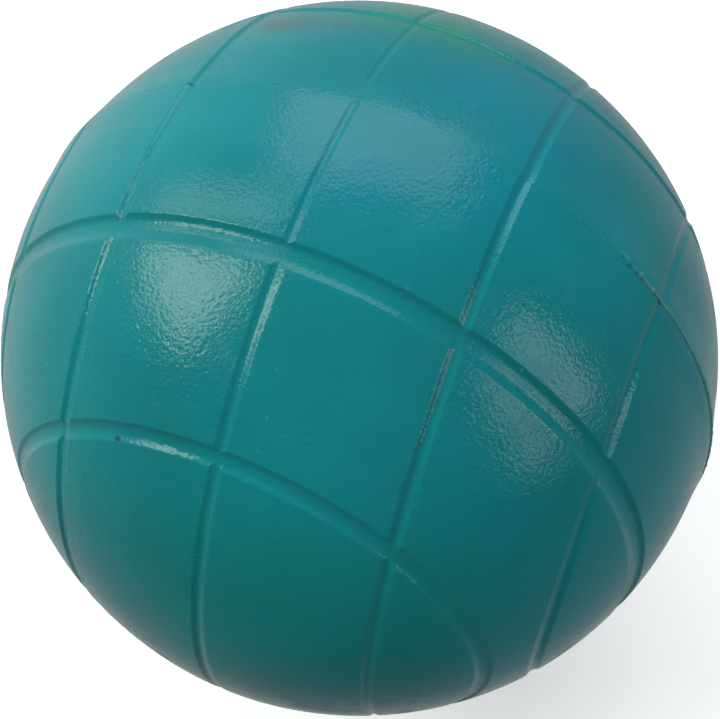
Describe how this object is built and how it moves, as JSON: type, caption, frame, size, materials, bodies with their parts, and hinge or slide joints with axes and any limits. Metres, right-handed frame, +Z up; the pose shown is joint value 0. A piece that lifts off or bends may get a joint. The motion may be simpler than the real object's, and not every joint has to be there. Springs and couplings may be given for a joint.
{
  "type": "croquet ball",
  "caption": "Solid croquet ball with a grooved moulded plastic shell welded round a core, hit through hoops with a mallet.",
  "frame": {"origin": "the ball's centre", "axes": "+Y is the axis on which the two half shells come together, so the weld lies in the plane y = 0; +X is square to the side grooves; +Z is up, with the ball resting at its lowest point"},
  "size_m": [0.087, 0.0856, 0.087],
  "materials": {
    "shell_front": "glossy moulded teal plastic with fine orange-peel texture",
    "shell_rear": "glossy moulded teal plastic with fine orange-peel texture",
    "weld": "slightly rough teal weld flash",
    "core": "matt tan filled plastic"
  },
  "bodies": {
    "root": {"front_half_shell": "shell_front", "rear_half_shell": "shell_rear", "weld_bead": "weld", "core": "core"}
  },
  "joints": []
}
